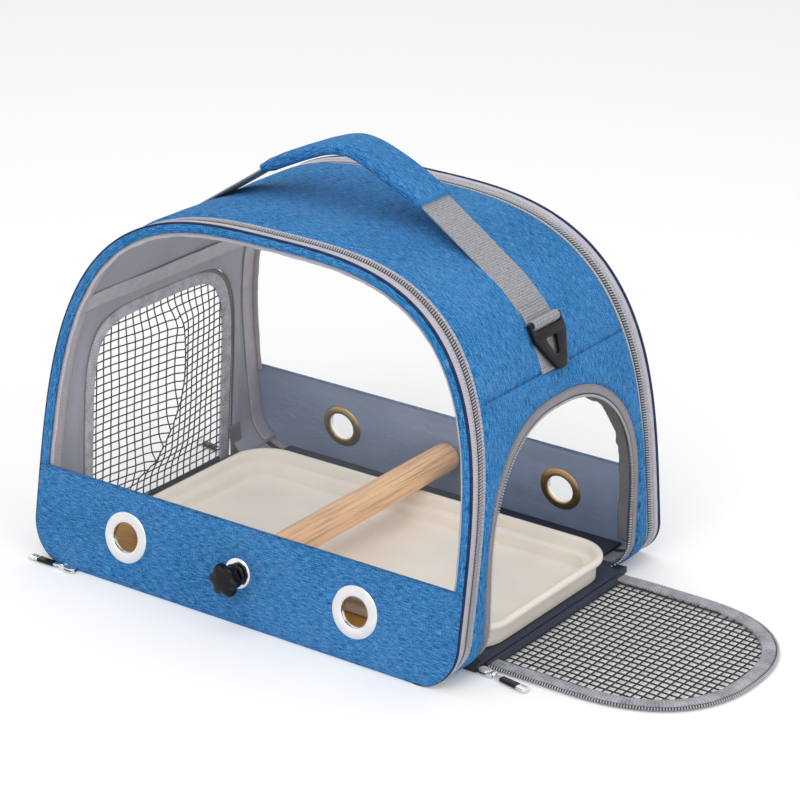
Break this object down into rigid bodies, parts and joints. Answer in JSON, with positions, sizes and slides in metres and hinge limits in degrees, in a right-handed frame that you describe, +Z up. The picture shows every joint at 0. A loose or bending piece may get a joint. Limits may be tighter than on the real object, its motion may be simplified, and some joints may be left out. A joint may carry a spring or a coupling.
{
  "type": "bird travel carrier",
  "caption": "Soft-sided arched bird travel carrier with clear windows, a mesh door at each end, a slide-out tray, a screwed-in perch and a padded top handle.",
  "frame": {"origin": "middle of the cabin's base, on the ground", "axes": "+X points to the open rounded door, the front window faces -Y, +Z is up"},
  "size_m": [0.6114, 0.3316, 0.347],
  "materials": {
    "blue_fabric": "blue melange woven fabric, padded",
    "floor_fabric": "dark grey woven fabric",
    "stiff_board": "stiff board covered in grey lining",
    "lining_fabric": "smooth grey lining",
    "grey_binding": "mid grey ribbed binding tape",
    "light_piping": "light grey satin piping and binding",
    "clear_sheet": "clear flexible sheet",
    "spring_boning": "flat springy strip",
    "zipper_teeth": "dark grey coil zipper",
    "bright_metal": "bright plated metal",
    "steel_screw": "plain steel thread",
    "brass_insert": "brass threaded insert",
    "beech": "clear varnished beech",
    "grey_webbing": "grey ribbed webbing",
    "ivory_plastic": "ivory moulded plastic",
    "black_net": "black square knotted net",
    "black_plastic": "black moulded plastic"
  },
  "bodies": {
    "cabin": {"top_panel": "blue_fabric", "right_end_panel": "blue_fabric", "left_end_panel": "blue_fabric", "floor_panel": "floor_fabric", "base_board": "stiff_board", "roof_lining": "lining_fabric", "right_end_lining": "lining_fabric", "left_end_lining": "lining_fabric", "seam_tapes": "grey_binding", "front_border": "blue_fabric", "front_band": "blue_fabric", "front_window": "clear_sheet", "rear_border": "blue_fabric", "rear_band": "blue_fabric", "rear_window": "clear_sheet", "window_bindings": "light_piping", "front_piping": "light_piping", "rear_piping": "light_piping", "arch_boning": "spring_boning", "front_zipper_tape": "grey_binding", "rear_zipper_tape": "grey_binding", "front_zipper_teeth": "zipper_teeth", "rear_zipper_teeth": "zipper_teeth", "port_eyelets": "bright_metal", "perch_eyelets": "bright_metal", "perch": "beech", "perch_inserts": "brass_insert", "sill_bindings": "grey_binding", "right_opening_tape": "grey_binding", "right_opening_teeth": "zipper_teeth", "right_inner_flap": "light_piping", "left_opening_tape": "grey_binding", "left_opening_teeth": "zipper_teeth", "handle_sleeve": "blue_fabric", "handle_webbing": "grey_webbing", "ring_loops": "grey_webbing", "zipper_sliders": "bright_metal"},
    "tray": {"tray": "ivory_plastic"},
    "right_door": {"right_door_hem": "grey_binding", "right_door_net": "black_net", "right_door_binding": "grey_binding", "right_door_teeth": "zipper_teeth"},
    "left_door": {"left_door_hem": "grey_binding", "left_door_net": "black_net", "left_door_binding": "grey_binding", "left_door_teeth": "zipper_teeth"},
    "right_strap_ring": {"right_strap_ring": "black_plastic"},
    "left_strap_ring": {"left_strap_ring": "black_plastic"},
    "right_door_pull": {"right_door_pull": "bright_metal"},
    "left_door_pull": {"left_door_pull": "bright_metal"},
    "front_face_pull": {"front_face_pull": "bright_metal"},
    "rear_face_pull": {"rear_face_pull": "bright_metal"},
    "front_washer": {"front_knob_washer": "black_plastic"},
    "front_knob": {"front_star_knob": "black_plastic", "front_knob_stud": "steel_screw"},
    "rear_washer": {"rear_knob_washer": "black_plastic"},
    "rear_knob": {"rear_star_knob": "black_plastic", "rear_knob_stud": "steel_screw"}
  },
  "joints": [
    {"name": "tray_slide", "type": "slide", "parent": "cabin", "child": "tray", "axis": [1, 0, 0], "range_m": [0, 0.34]},
    {"name": "right_door_fold", "type": "hinge", "parent": "cabin", "child": "right_door", "pos_m": [0.196, 0, 0.0025], "axis": [0, 1, 0], "range_deg": [-92, 0]},
    {"name": "left_door_fold", "type": "hinge", "parent": "cabin", "child": "left_door", "pos_m": [-0.196, 0, 0.0025], "axis": [0, -1, 0], "range_deg": [0, 92]},
    {"name": "right_ring_swing", "type": "hinge", "parent": "cabin", "child": "right_strap_ring", "pos_m": [0.17325, 0, 0.24072], "axis": [0, -1, 0], "range_deg": [0, 120]},
    {"name": "left_ring_swing", "type": "hinge", "parent": "cabin", "child": "left_strap_ring", "pos_m": [-0.17325, 0, 0.24072], "axis": [0, 1, 0], "range_deg": [0, 120]},
    {"name": "right_pull_swing", "type": "hinge", "parent": "cabin", "child": "right_door_pull", "pos_m": [0.2075, -0.10696, 0.0023], "axis": [-0.1736, -0.9848, 0], "range_deg": [0, 95]},
    {"name": "left_pull_swing", "type": "hinge", "parent": "cabin", "child": "left_door_pull", "pos_m": [-0.2075, 0.10496, 0.0023], "axis": [0.1736, 0.9848, 0], "range_deg": [0, 95]},
    {"name": "front_pull_swing", "type": "hinge", "parent": "cabin", "child": "front_face_pull", "pos_m": [-0.1656, -0.15508, 0.0023], "axis": [0, 1, 0], "range_deg": [0, 115]},
    {"name": "rear_pull_swing", "type": "hinge", "parent": "cabin", "child": "rear_face_pull", "pos_m": [-0.1656, 0.15508, 0.0023], "axis": [0, 1, 0], "range_deg": [0, 115]},
    {"name": "front_washer_slide", "type": "slide", "parent": "cabin", "child": "front_washer", "axis": [0, -1, 0], "range_m": [0, 0.012]},
    {"name": "front_knob_turn", "type": "hinge", "parent": "front_washer", "child": "front_knob", "pos_m": [0, -0.148, 0.0395], "axis": [0, -1, 0], "range_deg": [0, 4320]},
    {"name": "rear_washer_slide", "type": "slide", "parent": "cabin", "child": "rear_washer", "axis": [0, 1, 0], "range_m": [0, 0.012]},
    {"name": "rear_knob_turn", "type": "hinge", "parent": "rear_washer", "child": "rear_knob", "pos_m": [0, 0.148, 0.0395], "axis": [0, 1, 0], "range_deg": [0, 4320]}
  ],
  "couplings": [
    {"joint": "front_knob_turn", "follows": "front_washer_slide", "rad_per_m": 6283.2},
    {"joint": "rear_knob_turn", "follows": "rear_washer_slide", "rad_per_m": 6283.2}
  ]
}
